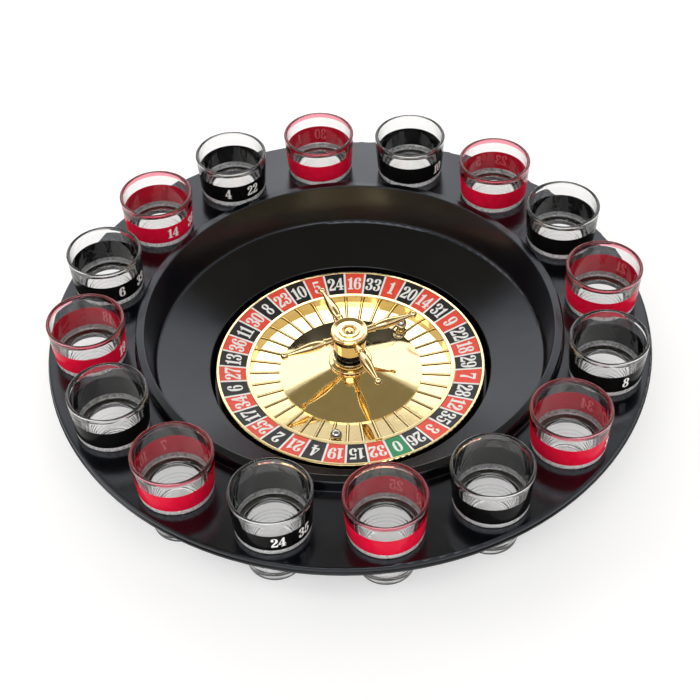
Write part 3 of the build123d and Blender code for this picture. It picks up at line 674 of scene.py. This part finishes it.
def fret_lines():
    """Thin dark lines of painted shade in the corner at both sides of every fret."""
    box_faces = ((0, 1, 3, 2), (4, 6, 7, 5), (0, 4, 5, 1), (2, 3, 7, 6), (1, 5, 7, 3), (0, 2, 6, 4))
    offsets = (FRET_HALF - FRET_LINE_OVERLAP, FRET_HALF + FRET_LINE)
    heights = (POCKET_FLOOR - FRET_LINE_OVERLAP, POCKET_FLOOR + FRET_LINE_HEIGHT)
    bm = bmesh.new()
    for k in range(POCKETS):
        along = ZERO_AT + POCKET_STEP / 2 + k * POCKET_STEP
        out = Vector((cos(along), sin(along), 0))
        side = Vector((-sin(along), cos(along), 0))
        for hand in (-1, 1):
            corners = [
                bm.verts.new(out * radius + side * (hand * offset) + Vector((0, 0, height)))
                for radius in (FRET_START_R, FRET_END_R)
                for offset in offsets
                for height in heights
            ]
            for face in box_faces:
                bm.faces.new([corners[index] for index in face])
    lines = mesh_object("fret_lines", bm, (FRET_PAINTED_SHADE,))
    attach(lines, "wheel")


number_card()
card_numbers()
fret_lines()

# ---------------------------------------------------------------- glasses
glass_low, glass_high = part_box("glass_01")
GLASS_RIM = glass_high.z
GLASS_BASE = glass_low.z
GLASS_RIM_R = (glass_high.x - glass_low.x) / 2
FLANGE_TOP = GLASS_BASE + FOOT_LENGTH


def glass_outside(height):
    """Outside radius of a glass's bowl at a height above the tray's flange."""
    part = height / (GLASS_RIM - FLANGE_TOP)
    return SHOULDER_R + part * (GLASS_RIM_R - SHOULDER_R)


def foot_corners():
    """Corners of a glass's pressed foot, from its middle up to its last shallow ring."""
    corners = [
        (0.0, GLASS_BASE + FOOT_DISH, 0),
        (FOOT_DISH_R, GLASS_BASE, 0.5 * MM),
        (FOOT_EDGE_R, GLASS_BASE, 0.9 * MM),
    ]
    for k in range(FOOT_RINGS):
        low = GLASS_BASE + FOOT_RING_START + k * FOOT_RING_PITCH
        swell = FOOT_RING_R + k * FOOT_RING_GROWTH
        corners.append((swell, low, 0.6 * MM))
        corners.append((swell - FOOT_RING_RELIEF, low + FOOT_RING_PITCH / 2, 0.6 * MM))
    return corners


def glass_profile():
    """Section of a glass: foot with shallow rings, shoulder, thin bowl and a deep well in the foot."""
    shoulder = FLANGE_TOP + SHOULDER_GAP
    bead_r = GLASS_RIM_R - RIM_BEAD
    well_floor = FLANGE_TOP - WELL_DEPTH
    return rounded(foot_corners() + [
        (FOOT_R, FLANGE_TOP - FOOT_STEP, 0.3 * MM),
        (FOOT_R, shoulder, 0.2 * MM),
        (SHOULDER_R, shoulder, 1.1 * MM),
        (glass_outside(BAND_BOTTOM), FLANGE_TOP + BAND_BOTTOM, 0),
        (GLASS_RIM_R, GLASS_RIM, RIM_BEAD / 2),
        (bead_r, GLASS_RIM, RIM_BEAD / 2),
        (bead_r, GLASS_RIM - RIM_BEAD_HEIGHT, 1.2 * MM),
        (GLASS_RIM_R - GLASS_WALL - 0.2 * MM, GLASS_RIM - 2 * RIM_BEAD_HEIGHT, 3.0 * MM),
        (SHOULDER_R - GLASS_WALL + 0.1 * MM, FLANGE_TOP + 1.9 * MM, 2.4 * MM),
        (BOWL_FLOOR_R, FLANGE_TOP + 1.2 * MM, 2.2 * MM),
        (WELL_R, well_floor, 2.5 * MM),
        (0.0, well_floor, 0),
    ])


def band_profile():
    """Section of a colour band, from just inside the bowl's surface to just outside it."""
    low = glass_outside(BAND_BOTTOM)
    high = glass_outside(BAND_TOP)
    return [
        (low - PAINT_DEPTH, FLANGE_TOP + BAND_BOTTOM),
        (low + PAINT_PROUD, FLANGE_TOP + BAND_BOTTOM),
        (high + PAINT_PROUD, FLANGE_TOP + BAND_TOP),
        (high - PAINT_DEPTH, FLANGE_TOP + BAND_TOP),
    ]


def glass_bowl(body, centre, red):
    """The clear body of a glass, frosted below the band; the rim of a red one is tinted with painted
    red light, piped up the glass from the band.
    """
    clear, red_edge, frosted = range(3)
    bm = bmesh.new()
    lathe(bm, glass_profile(), centre, GLASS_SEGMENTS, closed=False)
    for face in bm.faces:
        middle = face.calc_center_median()
        reach = hypot(middle.x - centre[0], middle.y - centre[1])
        below_band = FLANGE_TOP < middle.z < FLANGE_TOP + BAND_BOTTOM
        # The rim of a red glass takes the painted red light.
        if middle.z > GLASS_RIM - RED_EDGE_HEIGHT:
            face.material_index = red_edge if red else clear
        elif below_band and reach > FROSTED_FROM_R:
            face.material_index = frosted
    bowl = mesh_object(f"{body}_bowl", bm, (GLASS, RED_RIM_PAINTED_GLOW, FROSTED), smooth_angle=60)
    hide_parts(body)
    return bowl


def glass_band(body, centre, red):
    """The painted band round the bowl."""
    bm = bmesh.new()
    lathe(bm, band_profile(), centre, GLASS_SEGMENTS)
    return mesh_object(f"{body}_band", bm, (BAND_RED if red else BAND_BLACK,))


def glass_digits(body, centre, outward, red, numbers):
    """The white numbers on the band. Red paint lets their backs show, so those reach through it."""
    bm = bmesh.new()
    for value, turn in numbers:
        facing = outward + radians(turn)

        def place(x, y, lift, facing=facing):
            height = GLASS_DIGIT_BASE + y
            radius = glass_outside(height) + PAINT_PROUD + lift
            angle = facing + x / glass_outside(GLASS_DIGIT_BASE)
            return (
                centre[0] + radius * cos(angle),
                centre[1] + radius * sin(angle),
                FLANGE_TOP + height,
            )

        inner = -PAINT_DEPTH - 2 * PAINT_PROUD if red else 0.0
        add_number(bm, str(value), GLASS_DIGIT_HEIGHT, place, PRINT_THICKNESS, inner)
    inks = (INK_WHITE, INK_THROUGH_RED) if red else (INK_WHITE,)
    return mesh_object(f"{body}_numbers", bm, inks)


def make_glass(number):
    """One glass with its colour band and its numbers. Glass 1 is at the back; odd glasses are red."""
    body = f"glass_{number:02d}"
    outward = pi / 2 - (number - 1) * GLASS_STEP
    centre = (GLASS_RING_R * cos(outward), GLASS_RING_R * sin(outward))
    red = number % 2 == 1
    pieces = (
        glass_bowl(body, centre, red),
        glass_band(body, centre, red),
        glass_digits(body, centre, outward, red, GLASS_NUMBERS[number]),
    )
    for piece in pieces:
        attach(piece, body)


for glass_number in range(1, GLASS_COUNT + 1):
    make_glass(glass_number)


# ---------------------------------------------------------------- floor, light and camera
def pale_floor():
    """A plain white table lit evenly from below, as in product photography."""
    material, tree, shader = new_material(
        "floor", IOR=1.4, Emission_Color=(1, 1, 1, 1), Emission_Strength=0.42)
    tint(tree, noise(tree, 3), (0.70, 0.70, 0.705), (0.73, 0.73, 0.735), shader.inputs["Base Color"])
    spread(tree, noise(tree, 5), 0.6, 0.7, shader.inputs["Roughness"])
    bm = bmesh.new()
    bmesh.ops.create_grid(bm, x_segments=4, y_segments=4, size=FLOOR_HALF)
    floor = mesh_object("floor", bm, (material,))
    floor.location.z = -FLOOR_BELOW_FEET


def softbox(name, azimuth, elevation, distance, size, radiance):
    """A rectangular light aimed at the wheel."""
    light = bpy.data.lights.new(name, "AREA")
    light.shape = "RECTANGLE"
    light.size, light.size_y = size
    light.energy = radiance * pi * size[0] * size[1]
    holder = link(bpy.data.objects.new(name, light))
    a = radians(azimuth + CAMERA_AZIMUTH)
    e = radians(elevation)
    away = Vector((-sin(a) * cos(e), cos(a) * cos(e), sin(e)))
    holder.location = away * distance
    holder.rotation_mode = "QUATERNION"
    holder.rotation_quaternion = away.to_track_quat("Z", "Y")


def light_tent(wall, ceiling, edge, softness):
    """World light: bright walls up to an elevation, in degrees, and a dimmer ceiling above it."""
    world = bpy.data.worlds.new("light_tent")
    world.use_nodes = True
    tree = world.node_tree
    direction = tree.nodes.new("ShaderNodeTexCoord")
    parts = tree.nodes.new("ShaderNodeSeparateXYZ")
    tree.links.new(direction.outputs["Generated"], parts.inputs["Vector"])
    low, high = sin(radians(edge - softness)), sin(radians(edge + softness))
    tint(tree, parts.outputs["Z"], wall, ceiling, tree.nodes["Background"].inputs["Color"], low, high)
    SCENE.world = world


def studio():
    """The tent and the softboxes, shown without any film look."""
    light_tent(TENT_WALL, TENT_CEILING, TENT_EDGE, TENT_SOFTNESS)
    for name, settings in SOFTBOXES.items():
        softbox(name, *settings)
    SCENE.view_settings.view_transform = "Standard"


def place_camera():
    """The camera at the photograph's viewing angle."""
    data = bpy.data.cameras.new("camera")
    data.lens = CAMERA_LENS
    data.sensor_width = CAMERA_SENSOR
    data.clip_start = 0.01
    data.clip_end = 50.0
    camera = link(bpy.data.objects.new("camera", data))
    a, e = radians(CAMERA_AZIMUTH), radians(CAMERA_ELEVATION)
    back = Vector((sin(a) * cos(e), -cos(a) * cos(e), sin(e)))
    camera.location = Vector((0, 0, AIM_HEIGHT)) + back * CAMERA_DISTANCE
    camera.rotation_mode = "QUATERNION"
    roll = Matrix.Rotation(radians(CAMERA_ROLL), 3, "Z").to_quaternion()
    camera.rotation_quaternion = (-back).to_track_quat("-Z", "Y") @ roll
    SCENE.camera = camera


pale_floor()
studio()
place_camera()

bpy.context.view_layer.update()
